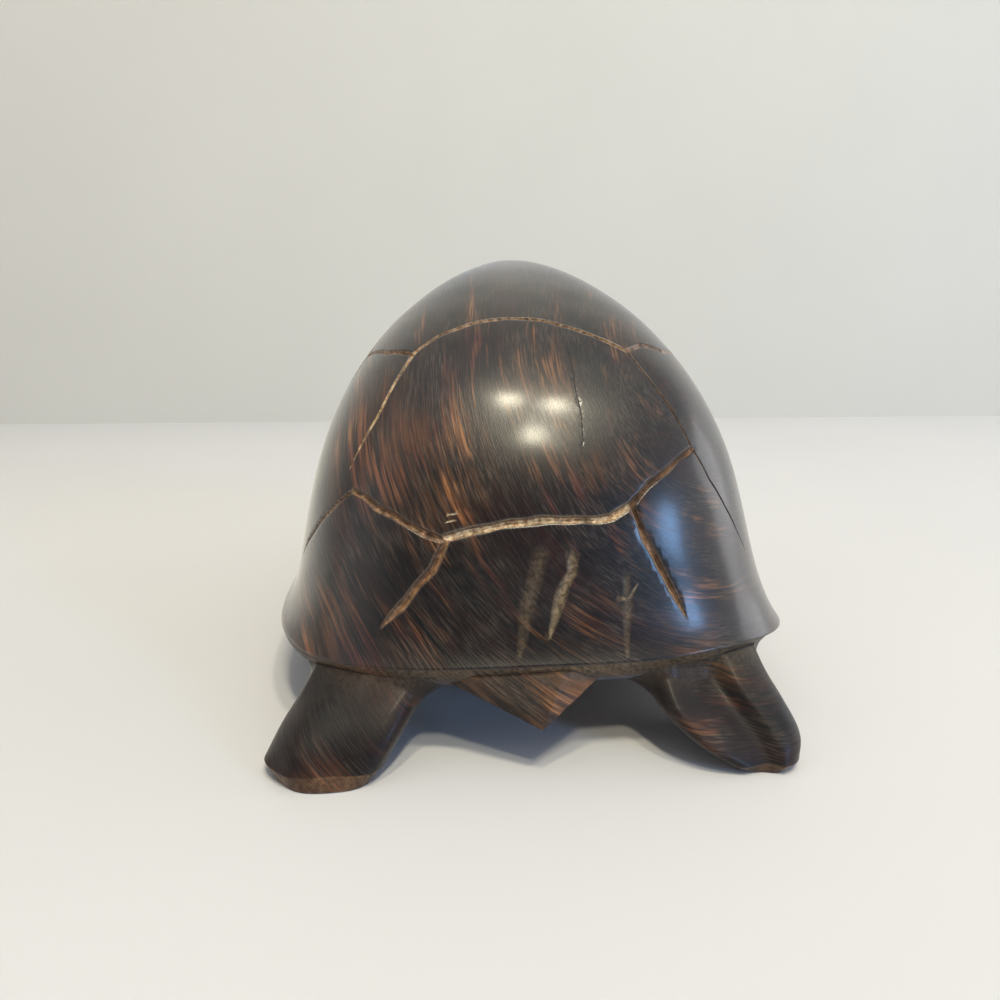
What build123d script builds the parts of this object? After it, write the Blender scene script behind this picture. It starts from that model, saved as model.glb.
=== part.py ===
"""Turtle figurine carved from one block of dense dark wood, in millimetres.

The head points along -Y, the turtle's left is +X, and the four soles stand on Z = 0.
The origin is under the middle of the whole figure. Each carved form is one solid, and
neighbouring forms meet face to face, because the grain runs through them uncut.
"""

from build123d import *

import os
from math import ceil, cos, exp, log, pi, radians, sin

# Whole figure
figure_length = 156.0
nose_reach = 87.5  # from the shell's middle forwards to the nose
shell_middle = nose_reach - figure_length / 2
overrun = 12.0  # how far a cutting form runs past what it cuts
limb_point_count = 16

# Shell
shell_width = 96.0
shell_length = 124.0
shell_top = 80.7
rim_side_height = 13.1
rim_arch_rise = 2.4  # the rim is higher at the front and rear than at the sides
rim_mid_height = rim_side_height + rim_arch_rise
rim_flare = 4.6
flare_fade = 6.4
crown_shift = 7.7  # the crown lies forward of the shell's middle
corner_power = 3.2
side_power = 1.57
top_power = 2.45
shell_point_count = 24
shell_level_shares = [0.0, 0.045, 0.12, 0.26, 0.43, 0.6, 0.76, 0.88, 0.955, 0.988]

# Carved lines between the scutes: V-shaped cuts from corner to corner. Each corner has its
# bearing round the crown in degrees, from the turtle's left over its rear, and its share of
# the height between the rim and the crown.
groove_width = 1.9
groove_depth = 0.8
groove_span = 11.0  # a straight stroke of the knife is at most this long
scute_corner_shares = {
    "rear_top_left": (53.0, 0.704),
    "rear_arc_left": (68.0, 0.777),
    "rear_arc_right": (93.5, 0.781),
    "rear_top_right": (118.0, 0.704),
    "rear_side_left": (48.4, 0.39),
    "rear_low_left": (69.2, 0.281),
    "rear_low_right": (107.5, 0.348),
    "rear_low_middle": (90.0, 0.319),
    "rear_side_right": (124.4, 0.463),
    "rear_rim_left": (58.4, 0.078),
    "rear_rim_right": (116.0, 0.074),
    "rear_flank_left": (30.4, 0.175),
    "rear_flank_right": (135.0, 0.193),
    "back_left": (27.0, 0.7),
    "back_right": (150.0, 0.686),
    "back_rim_left": (9.0, 0.17),
    "back_rim_right": (171.0, 0.17),
    "spine_left": (7.0, 0.845),
    "spine_right": (173.0, 0.845),
    "spine_ahead_left": (-55.0, 0.93),
    "spine_ahead_right": (-125.0, 0.93),
    "fore_left": (-24.0, 0.7),
    "fore_right": (-155.0, 0.695),
    "fore_rim_left": (-12.0, 0.17),
    "fore_rim_right": (-168.0, 0.17),
    "front_top_left": (-53.0, 0.715),
    "front_arc_left": (-70.0, 0.785),
    "front_arc_right": (-106.0, 0.772),
    "front_top_right": (-120.0, 0.71),
    "front_side_left": (-49.0, 0.41),
    "front_side_right": (-128.0, 0.42),
    "front_low_left": (-68.0, 0.288),
    "front_low_right": (-110.0, 0.3),
    "front_rim_left": (-60.0, 0.08),
    "front_rim_right": (-118.0, 0.08),
    "front_flank_left": (-32.0, 0.18),
    "front_flank_right": (-147.0, 0.18),
}
groove_runs = [
    ("rear_top_left", "rear_arc_left", "rear_arc_right", "rear_top_right", "rear_side_right", "rear_flank_right"),
    ("rear_top_left", "rear_side_left", "rear_low_left", "rear_low_middle", "rear_low_right", "rear_side_right"),
    ("rear_side_left", "rear_flank_left"),
    ("rear_low_left", "rear_rim_left"),
    ("rear_low_right", "rear_rim_right"),
    ("rear_top_left", "back_left", "spine_left", "fore_left", "front_top_left"),
    ("rear_top_right", "back_right", "spine_right", "fore_right", "front_top_right"),
    ("spine_left", "spine_ahead_left", "spine_ahead_right", "spine_right"),
    ("back_left", "back_rim_left"),
    ("back_right", "back_rim_right"),
    ("fore_left", "fore_rim_left"),
    ("fore_right", "fore_rim_right"),
    ("front_top_left", "front_arc_left", "front_arc_right", "front_top_right", "front_side_right"),
    ("front_top_left", "front_side_left", "front_low_left", "front_low_right", "front_side_right"),
    ("front_side_left", "front_flank_left"),
    ("front_side_right", "front_flank_right"),
    ("front_low_left", "front_rim_left"),
    ("front_low_right", "front_rim_right"),
]

# Underbody
belly_height = 7.2
bowl_reach = 6.5  # the bowl's fall towards the belly fades over this distance from the rim
bowl_ledge = 0.6
bowl_level_shares = [0.04, 0.15, 0.4, 0.7, 1.0, 1.3]

# Legs
leg_width = 19.4
leg_depth = 17.0
leg_root_height = 17.5
leg_spread = 7.3  # the sole stands this far outwards of the leg's root
leg_rake = 13.2  # and this far beyond it, along the shell
leg_power = 2.8
leg_level_shares = [(0.0, 0.88), (0.15, 1.0), (0.55, 0.98), (1.0, 0.92)]
rear_left_inset = 14.5  # from the shell's side to the middle of the sole
rear_right_inset = 17.0
front_inset = 14.5
rear_sole_inset = 1.0  # from the shell's end to the middle of the sole
front_sole_inset = 6.0

# Tail
tail_reach = 4.3  # from the shell's end to the tip
tail_tip_x = 2.2
tail_tip_height = 7.5
tail_run = 20.3
tail_crease_shares = [(2.12, 0.8), (1.76, 1.15), (-0.55, 1.49), (-1.76, 1.01), (0.11, 0.12)]

# Head and neck
head_width = 25.0
head_height = 20.0
head_centre_height = 24.5
neck_width = 19.0
neck_height = 15.0
neck_centre_height = 19.0
neck_root_inset = 16.0
muzzle_width = 13.0
muzzle_height = 11.0
head_power = 2.3
head_station_shares = [(0.0, 0.0, 0.0), (0.35, 0.05, 0.0), (0.62, 0.95, 0.0), (0.8, 1.0, 0.25), (0.94, 1.0, 1.0)]


def outline_place(bearing, half_x, half_y, power):
    """A place on a rounded outline: an ellipse pushed towards a rectangle by the power."""
    reach = (abs(cos(bearing)) ** power + abs(sin(bearing)) ** power) ** (-1 / power)
    return (half_x * reach * cos(bearing), half_y * reach * sin(bearing))


def rounded_outline(plane, half_x, half_y, power, count=limb_point_count):
    """One face inside a rounded outline, on a plane."""
    places = [outline_place(2 * pi * step / count, half_x, half_y, power) for step in range(count)]
    with BuildSketch(plane) as outline:
        with BuildLine():
            Spline(*places, periodic=True)
        make_face()
    return outline.sketch.face()


def shell_section(share):
    """Half width, half length and centre of the shell at a share of its height above the
    lowest rim point. The flare starts from the rim, which is higher at the ends."""
    height = share * (shell_top - rim_side_height)
    roundness = (1 - share**top_power) ** (1 / side_power)
    side_flare = rim_flare * exp(-height / flare_fade)
    end_flare = rim_flare * exp((rim_arch_rise - height) / flare_fade)
    half_x = (shell_width / 2 - rim_flare) * roundness + side_flare
    half_y = (shell_length / 2 - rim_flare) * roundness + end_flare
    return half_x, half_y, Vector(0, shell_middle - crown_shift * (1 - roundness), rim_side_height + height)


def shell_level(share):
    """The shell's section at a share of its height, as a face."""
    half_x, half_y, centre = shell_section(share)
    return rounded_outline(Plane(centre), half_x, half_y, corner_power, shell_point_count)


def shell_point(bearing_degrees, share):
    """A point on the shell by its bearing and its share of the height over the rear rim."""
    height = rim_mid_height + share * (shell_top - rim_mid_height)
    half_x, half_y, centre = shell_section((height - rim_side_height) / (shell_top - rim_side_height))
    return centre + Vector(*outline_place(radians(bearing_degrees), half_x, half_y, corner_power))


def shell_outward(bearing_degrees, share):
    """The shell's outward direction, from two short steps along its surface."""
    turn_step = 0.5
    rise_step_share = 0.005
    ahead, behind = (shell_point(bearing_degrees + step, share) for step in (turn_step, -turn_step))
    above, below = (shell_point(bearing_degrees, share + step) for step in (rise_step_share, -rise_step_share))
    return (ahead - behind).cross(above - below).normalized()


def groove_blade(corner_names):
    """A long V-shaped blade that cuts one run of grooves out of the shell. Its edge follows
    the shell's surface at the groove's depth, in straight strokes."""
    corners = []
    for name in corner_names:
        bearing, share = scute_corner_shares[name]
        if corners and abs(bearing - corners[-1][0]) > 180:
            bearing += 360 if bearing < corners[-1][0] else -360
        corners.append((bearing, share))
    places = [corners[0]]
    for (bearing, share), (next_bearing, next_share) in zip(corners, corners[1:]):
        length = (shell_point(next_bearing, next_share) - shell_point(bearing, share)).length
        strokes = ceil(length / groove_span)
        for stroke in range(1, strokes + 1):
            part = stroke / strokes
            places.append((bearing + (next_bearing - bearing) * part, share + (next_share - share) * part))
    points = [shell_point(*place) for place in places]
    sections = []
    for index, (place, point) in enumerate(zip(places, points)):
        outward = shell_outward(*place)
        along = points[min(index + 1, len(points) - 1)] - points[max(index - 1, 0)]
        sideways = outward.cross(along).normalized() * groove_width
        back = point + outward * groove_depth
        edge = point - outward * groove_depth
        sections.append(Face(Wire.make_polygon([edge, back + sideways, back - sideways], close=True)))
    with BuildPart() as blade:
        loft(sections=sections, ruled=True)
    return blade.part


# The arched parting between the shell and the underbody
edge_x = shell_width / 2
with BuildPart() as below_rim:
    with BuildSketch(Plane.XZ.offset(-shell_middle)):
        with BuildLine():
            ThreePointArc((-edge_x, rim_side_height), (0, rim_mid_height), (edge_x, rim_side_height))
            Polyline(
                (edge_x, rim_side_height),
                (edge_x + overrun, rim_side_height),
                (edge_x + overrun, -overrun),
                (-edge_x - overrun, -overrun),
                (-edge_x - overrun, rim_side_height),
                (-edge_x, rim_side_height),
            )
        make_face()
    extrude(amount=shell_length / 2 + overrun, both=True)

with BuildPart() as carapace:
    crown = Vertex(0, shell_middle - crown_shift, shell_top)
    loft(sections=[shell_level(share) for share in shell_level_shares] + [crown])
    add(below_rim.part, mode=Mode.SUBTRACT)
    add([groove_blade(run) for run in groove_runs], mode=Mode.SUBTRACT)

# The underbody is a shallow bowl that falls away from the rim towards a flat belly
with BuildPart() as plastron:
    bowl_levels = []
    for share in bowl_level_shares:
        inset = bowl_ledge - bowl_reach * log(share)
        height = belly_height + (rim_mid_height - belly_height) * share
        plane = Plane((0, shell_middle, height))
        half_x = shell_width / 2 - inset
        half_y = shell_length / 2 - inset
        bowl_levels.append(rounded_outline(plane, half_x, half_y, corner_power, shell_point_count))
    loft(sections=bowl_levels)
    add(below_rim.part, mode=Mode.INTERSECT)


def carve_leg(side, end, side_inset, end_inset):
    """A leg that leans from its root under the shell outwards to a flat sole."""
    with BuildPart() as leg:
        levels = []
        for height_share, size_share in leg_level_shares:
            centre_x = side * (shell_width / 2 - side_inset - leg_spread * height_share)
            centre_y = shell_middle + end * (shell_length / 2 - end_inset - leg_rake * height_share)
            plane = Plane((centre_x, centre_y, leg_root_height * height_share))
            levels.append(rounded_outline(plane, leg_width / 2 * size_share, leg_depth / 2 * size_share, leg_power))
        loft(sections=levels)
        add(below_rim.part, mode=Mode.INTERSECT)
        add(plastron.part, mode=Mode.SUBTRACT)
    return leg


rear_left_leg = carve_leg(1, 1, rear_left_inset, rear_sole_inset)
rear_right_leg = carve_leg(-1, 1, rear_right_inset, rear_sole_inset)
front_left_leg = carve_leg(1, -1, front_inset, front_sole_inset)
front_right_leg = carve_leg(-1, -1, front_inset, front_sole_inset)

# The tail is a wedge under the rear rim, whose flat facets meet in a point
with BuildPart() as tail:
    tail_tip_y = shell_middle + shell_length / 2 + tail_reach
    with BuildSketch(Plane.XZ.offset(tail_run - tail_tip_y)) as tail_root:
        root_corners = []
        for across_share, rise_share in tail_crease_shares:
            root_corners.append((tail_tip_x + tail_run * across_share, tail_tip_height + tail_run * rise_share))
        Polygon(*root_corners, align=None)
    loft(sections=[tail_root.sketch.face(), Vertex(tail_tip_x, tail_tip_y, tail_tip_height)], ruled=True)
    add(below_rim.part, mode=Mode.INTERSECT)
    add(plastron.part, mode=Mode.SUBTRACT)

# The neck leaves the shell under its front rim and swells into a blunt raised head
with BuildPart() as head:
    neck_root_y = shell_length / 2 - neck_root_inset
    head_run = nose_reach - neck_root_y
    head_sections = []
    for reach_share, swell_share, muzzle_share in head_station_shares:
        reach = neck_root_y + head_run * reach_share
        width = neck_width + (head_width - neck_width) * swell_share
        width = width + (muzzle_width - width) * muzzle_share
        height = neck_height + (head_height - neck_height) * swell_share
        height = height + (muzzle_height - height) * muzzle_share
        rise = neck_centre_height + (head_centre_height - neck_centre_height) * swell_share
        plane = Plane((0, shell_middle - reach, rise), x_dir=(1, 0, 0), z_dir=(0, -1, 0))
        head_sections.append(rounded_outline(plane, width / 2, height / 2, head_power))
    nose = Vertex(0, shell_middle - nose_reach, head_centre_height)
    loft(sections=head_sections + [nose])
    add(carapace.part, mode=Mode.SUBTRACT)
    add(plastron.part, mode=Mode.SUBTRACT)

os.makedirs("parts", exist_ok=True)
pieces = {
    "carapace": carapace,
    "plastron": plastron,
    "head": head,
    "tail": tail,
    "front_left_leg": front_left_leg,
    "front_right_leg": front_right_leg,
    "rear_left_leg": rear_left_leg,
    "rear_right_leg": rear_right_leg,
}
for name, piece in pieces.items():
    piece.part.label = name
    export_step(piece.part, f"parts/{name}.step")
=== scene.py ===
from math import cos, pi, radians, sin

import bpy
import numpy as np
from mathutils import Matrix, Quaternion, Vector
from mathutils.geometry import delaunay_2d_cdt


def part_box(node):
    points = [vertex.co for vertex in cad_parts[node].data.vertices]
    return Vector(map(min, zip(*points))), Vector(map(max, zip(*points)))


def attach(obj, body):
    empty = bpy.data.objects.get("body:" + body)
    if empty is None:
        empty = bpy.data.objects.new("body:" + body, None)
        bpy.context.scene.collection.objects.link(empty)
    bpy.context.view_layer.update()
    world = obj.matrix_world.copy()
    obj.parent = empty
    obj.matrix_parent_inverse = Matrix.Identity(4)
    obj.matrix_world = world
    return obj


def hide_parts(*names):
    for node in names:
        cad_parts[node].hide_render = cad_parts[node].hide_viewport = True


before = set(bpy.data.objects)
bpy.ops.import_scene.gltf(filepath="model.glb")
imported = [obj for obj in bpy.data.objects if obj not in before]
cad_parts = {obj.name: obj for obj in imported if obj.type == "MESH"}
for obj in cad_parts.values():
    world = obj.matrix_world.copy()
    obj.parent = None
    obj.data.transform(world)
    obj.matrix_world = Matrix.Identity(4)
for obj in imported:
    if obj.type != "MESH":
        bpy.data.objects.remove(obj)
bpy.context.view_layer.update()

MM = 0.001

# The view: from close behind the turtle, a little to its left and above the rim. The close
# distance gives the strong perspective in which the dome narrows towards its top.
shell_low, shell_high = (np.array(corner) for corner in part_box("carapace"))
shell_middle = np.array([0.0, (shell_low[1] + shell_high[1]) / 2, 0.0])
view_target = shell_middle + np.array([2.85, -0.25, 27.9]) * MM
view_distance = 170.5 * MM
view_height = radians(12.0)
view_swing = radians(4.88)
towards_camera = np.array([
    cos(view_height) * sin(view_swing),
    cos(view_height) * cos(view_swing),
    sin(view_height),
])
camera = bpy.data.objects.new("camera", bpy.data.cameras.new("camera"))
camera.data.lens = 27.0
camera.data.sensor_width = 36.0
camera.data.clip_start = 0.005
camera.location = view_target + towards_camera * view_distance
camera.rotation_mode = "QUATERNION"
camera.rotation_quaternion = Vector(-towards_camera).to_track_quat("-Z", "Y")
bpy.context.collection.objects.link(camera)
bpy.context.scene.camera = camera


# The table and the plain wall behind it: a matt white top whose far edge crosses the view
# above the middle, and a grey-beige sheet of backdrop that stands on that edge.
def plain_paint(name, colour, roughness):
    """A matt paint with a faint cloudy variation."""
    paint = bpy.data.materials.new(name)
    paint.use_nodes = True
    nodes, links = paint.node_tree.nodes, paint.node_tree.links
    shader = nodes["Principled BSDF"]
    shader.inputs["Roughness"].default_value = roughness
    place = nodes.new("ShaderNodeTexCoord")
    cloud = nodes.new("ShaderNodeTexNoise")
    cloud.inputs["Scale"].default_value = 9.0
    tint = nodes.new("ShaderNodeMapRange")
    tint.inputs["To Min"].default_value = 0.97
    tint.inputs["To Max"].default_value = 1.03
    shade = nodes.new("ShaderNodeVectorMath")
    shade.operation = "SCALE"
    shade.inputs[0].default_value = colour
    links.new(place.outputs["Object"], cloud.inputs["Vector"])
    links.new(cloud.outputs["Fac"], tint.inputs["Value"])
    links.new(tint.outputs["Result"], shade.inputs["Scale"])
    links.new(shade.outputs["Vector"], shader.inputs["Base Color"])
    return paint


table_depth = 445.0 * MM
table_reach = 4.0
wall_height = 2.0


def flat_sheet(name, corners, paint):
    """A four-cornered sheet that stands for the room."""
    mesh = bpy.data.meshes.new(name)
    mesh.from_pydata(corners, [], [(0, 1, 2, 3)])
    mesh.materials.append(paint)
    sheet = bpy.data.objects.new(name, mesh)
    bpy.context.collection.objects.link(sheet)


wall_y = shell_middle[1] - table_depth
far_edge = [(-table_reach, wall_y, 0), (table_reach, wall_y, 0)]
near_edge = [(table_reach, table_reach, 0), (-table_reach, table_reach, 0)]
wall_top = [(-table_reach, wall_y, wall_height), (table_reach, wall_y, wall_height)]
flat_sheet("table_top", far_edge + near_edge, plain_paint("table_white", (0.70, 0.70, 0.72), 0.6))
flat_sheet(
    "backdrop",
    far_edge[:1] + wall_top + far_edge[1:],
    plain_paint("backdrop_beige", (0.725, 0.71, 0.665), 0.9),
)

# The light: three small warm lamps high behind the camera, a narrow cool window low on the right,
# a pale doorway beyond it, and an even fill. The lamps leave the three soft glints on the dome.
def soft_lamp(name, place, width, height, power, colour):
    """A rectangular lamp at a place from the shell's middle, in metres, that faces the shell."""
    lamp = bpy.data.objects.new(name, bpy.data.lights.new(name, "AREA"))
    lamp.data.shape = "RECTANGLE"
    lamp.data.size = width
    lamp.data.size_y = height
    lamp.data.energy = power
    lamp.data.color = colour
    lamp.location = Vector(shell_middle) + Vector(place)
    lamp.rotation_mode = "QUATERNION"
    lamp.rotation_quaternion = Vector(place).to_track_quat("Z", "Y")
    bpy.context.collection.objects.link(lamp)
    return lamp


lamp_side = 0.11
lamp_warm = (1.0, 0.92, 0.70)
soft_lamp("lamp_left", (0.020, 0.437, 1.294), lamp_side, lamp_side, 4.2, lamp_warm)
soft_lamp("lamp_right", (-0.265, 0.490, 1.247), lamp_side, lamp_side, 4.2, lamp_warm)
soft_lamp("lamp_near", (-0.135, 0.738, 1.143), lamp_side, lamp_side, 4.0, lamp_warm)
window = soft_lamp("window", (-1.16, 1.12, 0.46), 0.27, 0.36, 7.2, (0.30, 0.56, 1.0))
window.rotation_quaternion @= Quaternion((0, 0, 1), radians(-18))
soft_lamp("pale_doorway", (-1.25, -0.30, 0.34), 0.9, 0.62, 4.8, (0.97, 0.97, 1.0))

# The room is bright above and at the sides, and darker behind the camera
world = bpy.data.worlds.new("room")
bpy.context.scene.world = world
world.use_nodes = True
room = world.node_tree
sky = room.nodes["Background"]
look = room.nodes.new("ShaderNodeTexCoord")
facing = room.nodes.new("ShaderNodeVectorMath")
facing.operation = "DOT_PRODUCT"
facing.inputs[1].default_value = (0.10, 0.98, 0.12)
dimming = room.nodes.new("ShaderNodeMapRange")
dimming.interpolation_type = "SMOOTHSTEP"
dimming.inputs["From Min"].default_value = 0.30
dimming.inputs["From Max"].default_value = 0.92
dimming.inputs["To Min"].default_value = 0.69
dimming.inputs["To Max"].default_value = 0.10
room.links.new(look.outputs["Generated"], facing.inputs[0])
room.links.new(facing.outputs["Value"], dimming.inputs["Value"])
room.links.new(dimming.outputs["Result"], sky.inputs["Strength"])
sky.inputs["Color"].default_value = (0.96, 0.975, 1.0, 1.0)
bpy.context.scene.view_settings.view_transform = "Standard"


# The carapace: a tall dome polished smooth, with a rim that flares out to a thin edge, carved
# from dense dark wood. Its scutes are outlined by V-shaped cuts 1 to 1.5 mm wide, made freehand.
half_width = (shell_high[0] - shell_low[0]) / 2
half_length = (shell_high[1] - shell_low[1]) / 2
rim_side = shell_low[2]
dome_rise = shell_high[2] - rim_side
rim_arch = 2.4 * MM
rim_flare = 4.6 * MM
flare_fade = 6.4 * MM
crown_shift = 7.7 * MM
corner_power = 3.2
side_power = 1.57
top_power = 2.45
corner_lift = 1.7 * MM
corner_kick = 1.1 * MM
kick_fade = 12 * MM


def corner_reach(bearing, power):
    """How far a rounded rectangle reaches at a bearing, as a share of its half size: the
    power mean of the cosine and the sine, turned over."""
    return (np.abs(np.cos(bearing)) ** power + np.abs(np.sin(bearing)) ** power) ** (-1 / power)


def dome_roundness(share):
    """The dome's half size at a share of its height: one less the share to the top power, all
    to the power of one over the side power."""
    return np.clip(1 - np.clip(share, 0, 1) ** top_power, 0, 1) ** (1 / side_power)


def near_bearing(bearing, middle, spread):
    """A bell curve of the bearing, with its middle and spread in degrees."""
    return np.exp(-(((np.mod(bearing, 2 * pi) - radians(middle)) / radians(spread)) ** 2))


def rim_height(bearing):
    """The rim's height at a bearing: an arch that is highest at the ends, by the square of
    the place across, with a soft lift of the rear right corner."""
    across = corner_reach(bearing, corner_power) * np.cos(bearing)
    return rim_side + rim_arch * (1 - across**2) + corner_lift * near_bearing(bearing, 128, 17)


# The spread runs from nothing at the crown to one at the rim, in even steps along the surface
share_steps = 1 - np.linspace(0, 1, 4001) ** 2
profile_steps = dome_roundness(share_steps) * (half_width + half_length) / 2
arc_steps = np.hypot(np.diff(profile_steps), np.diff(share_steps * dome_rise))
arc_run = np.concatenate([[0], np.cumsum(arc_steps)])
dome_arc = arc_run[-1]


def height_share(spread):
    """The share of the dome's height at a spread, by the arc length of its mean profile."""
    return np.interp(spread, arc_run / dome_arc, share_steps)


def spread_of(share):
    """The spread at a share of the dome's height: the way back from height_share."""
    return np.interp(1 - share, 1 - share_steps, arc_run / dome_arc)


def dome_surface(bearing, spread):
    """Points of the polished dome. The plan is a rounded rectangle scaled by the dome's
    roundness, the flare adds a width that dies away upwards, more so at the rear right corner,
    the crown leans forward, and the height runs from the arched rim to the crown."""
    share = height_share(spread)
    reach = corner_reach(bearing, corner_power)
    roundness = dome_roundness(share)
    kick = corner_kick * near_bearing(bearing, 138, 14) * np.exp(-((share * dome_rise / kick_fade) ** 2))
    flare = rim_flare * np.exp(-share * dome_rise / flare_fade) + kick
    x = ((half_width - rim_flare) * roundness + flare) * reach * np.cos(bearing)
    y = ((half_length - rim_flare) * roundness + flare) * reach * np.sin(bearing)
    base = rim_height(bearing)
    z = base + (shell_high[2] - base) * share
    return np.stack([x, y + shell_middle[1] - crown_shift * (1 - roundness), z], -1)


flat_scale = dome_arc / ((half_width + half_length) / 2)


def flatten(bearing, spread):
    """The dome laid out flat: the spread times the rounded outline, at about true scale."""
    reach = corner_reach(bearing, corner_power) * spread * flat_scale
    return np.stack([half_width * reach * np.cos(bearing), half_length * reach * np.sin(bearing)], -1)


def lift_flat(flat):
    """Bearing and spread of points on the flat layout: the way back from flatten."""
    bearing = np.arctan2(flat[..., 1] / half_length, flat[..., 0] / half_width)
    size = np.hypot(flat[..., 0] / half_width, flat[..., 1] / half_length) / flat_scale
    return np.mod(bearing, 2 * pi), size / corner_reach(bearing, corner_power)


def dome_point(flat):
    """Points of the dome from points on the flat layout."""
    return dome_surface(*lift_flat(flat))


def hand_waver(points, wavelength, seed, waves=5):
    """A smooth random value near minus one to one: the mean of a few sine waves that cross
    the points in random directions."""
    random = np.random.default_rng(seed)
    total = np.zeros(points.shape[:-1])
    for _ in range(waves):
        direction = random.normal(size=points.shape[-1])
        direction /= np.linalg.norm(direction) * wavelength * random.uniform(0.7, 1.4)
        total += np.sin(points @ direction * 2 * pi + random.uniform(0, 2 * pi))
    return total / waves**0.5


# Each stroke: corners by bearing in degrees and height share, half width and depth in mm, how
# pale its wood is, and how it ends: open, or it fades at the last corner. A scuff only scrapes
# the polish.
knife_strokes = [
    (
        [(52.8, 0.705), (59, 0.751), (68, 0.777), (80, 0.787), (93.5, 0.781), (105, 0.758), (118, 0.703)],
        0.46, 0.55, 0.72, "open",
    ),
    ([(53, 0.700), (50, 0.556), (46.3, 0.428)], 0.34, 0.50, 0.9, "fades"),
    ([(53, 0.703), (42, 0.708), (27, 0.700), (21, 0.76), (7, 0.845)], 0.52, 0.6, 0.6, "open"),
    ([(27, 0.700), (19, 0.50), (12, 0.30), (9, 0.17)], 0.42, 0.55, 0.4, "fades"),
    ([(49, 0.384), (41.9, 0.317), (36.6, 0.258), (30.4, 0.175)], 0.42, 0.6, 0.75, "fades"),
    ([(48.7, 0.384), (55, 0.351), (60.4, 0.323), (65.5, 0.294), (69.2, 0.277)], 0.62, 0.7, 0.5, "open"),
    ([(69.2, 0.277), (66.9, 0.212), (62.6, 0.143), (58.4, 0.078)], 0.66, 0.7, 0.46, "fades"),
    (
        [
            (69.2, 0.286), (76, 0.304), (84, 0.317), (92.5, 0.319),
            (98.8, 0.318), (103, 0.322), (107.5, 0.348),
        ],
        0.70, 0.8, 1.0, "open",
    ),
    ([(107.5, 0.348), (112.4, 0.394), (117.6, 0.427), (124.4, 0.461)], 0.56, 0.7, 0.26, "open"),
    (
        [(107.6, 0.346), (109.7, 0.269), (112.2, 0.198), (114.5, 0.128), (116.0, 0.074)],
        0.58, 0.7, 0.42, "fades",
    ),
    (
        [
            (118, 0.703), (119.9, 0.643), (122, 0.577), (124.4, 0.464),
            (127.1, 0.384), (130.1, 0.314), (135, 0.193),
        ],
        0.20, 0.40, 0.22, "fades",
    ),
    (
        [(118, 0.703), (124.5, 0.718), (133.4, 0.701), (150, 0.685), (160, 0.76), (173, 0.845)],
        0.48, 0.6, 0.6, "open",
    ),
    ([(150, 0.685), (160, 0.46), (167, 0.29), (171, 0.17)], 0.55, 0.6, 0.5, "fades"),
    ([(7, 0.845), (-8, 0.76), (-24, 0.700), (-40, 0.715), (-53, 0.715)], 0.55, 0.7, 0.6, "open"),
    ([(173, 0.845), (187, 0.76), (205, 0.695), (222, 0.71), (240, 0.71)], 0.55, 0.7, 0.6, "open"),
    (
        [(7, 0.845), (-18, 0.90), (-55, 0.93), (-90, 0.935), (-125, 0.93), (-162, 0.90), (-187, 0.845)],
        0.5, 0.65, 0.6, "open",
    ),
    ([(-24, 0.700), (-18, 0.50), (-14, 0.32), (-12, 0.17)], 0.55, 0.7, 0.5, "fades"),
    ([(205, 0.695), (199, 0.50), (195, 0.32), (192, 0.17)], 0.55, 0.7, 0.5, "fades"),
    ([(-53, 0.715), (-66, 0.775), (-86, 0.792), (-106, 0.772), (-120, 0.71)], 0.5, 0.7, 0.6, "open"),
    ([(-53, 0.715), (-51, 0.57), (-49, 0.41)], 0.5, 0.7, 0.6, "open"),
    ([(-49, 0.41), (-58, 0.34), (-68, 0.288)], 0.6, 0.75, 0.7, "open"),
    ([(-68, 0.288), (-80, 0.31), (-92, 0.318), (-110, 0.30)], 0.6, 0.75, 0.8, "open"),
    ([(-110, 0.30), (-119, 0.36), (-128, 0.42)], 0.6, 0.75, 0.6, "open"),
    ([(-128, 0.42), (-125, 0.57), (-120, 0.71)], 0.5, 0.7, 0.5, "open"),
    ([(-49, 0.41), (-41, 0.30), (-32, 0.18)], 0.55, 0.7, 0.6, "fades"),
    ([(-128, 0.42), (-137, 0.30), (-147, 0.18)], 0.55, 0.7, 0.5, "fades"),
    ([(-68, 0.288), (-65, 0.19), (-60, 0.08)], 0.6, 0.75, 0.6, "fades"),
    ([(-110, 0.30), (-114, 0.19), (-118, 0.08)], 0.6, 0.75, 0.6, "fades"),
    ([(69.5, 0.338), (71.0, 0.341)], 0.17, 0.15, 1.0, "open"),
    ([(69.4, 0.322), (70.8, 0.325)], 0.17, 0.15, 1.0, "open"),
    (
        [(98.8, 0.760), (100.0, 0.703), (99.5, 0.633), (99.2, 0.60), (99.4, 0.551), (98.8, 0.494)],
        0.085, 0.07, 0.0, "open",
    ),
    ([(98.8, 0.494), (97.4, 0.44), (98.0, 0.39)], 0.07, 0.06, 0.3, "open"),
    ([(94.4, 0.228), (94.2, 0.20), (92.8, 0.173), (91.0, 0.115), (89.5, 0.058)], 0.85, 0.12, 1.0, "scuff"),
    ([(87.9, 0.240), (86.6, 0.185), (85.6, 0.142), (83.8, 0.02)], 1.0, 0.03, 0.3, "scuff"),
    ([(105.2, 0.180), (105.0, 0.12), (104.2, 0.06), (103.5, 0.01)], 0.7, 0.03, 0.36, "scuff"),
    ([(103.5, 0.136), (105.4, 0.136), (107.3, 0.166)], 0.4, 0.08, 0.8, "scuff"),
]
station_step = 0.3 * MM
fading_run = 7 * MM
hand_shake = 0.11 * MM
row_offsets = [-1.4, -1.0, -0.86, -0.45, 0.0, 0.3, 0.6, 0.86, 1.0, 1.4]

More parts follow.
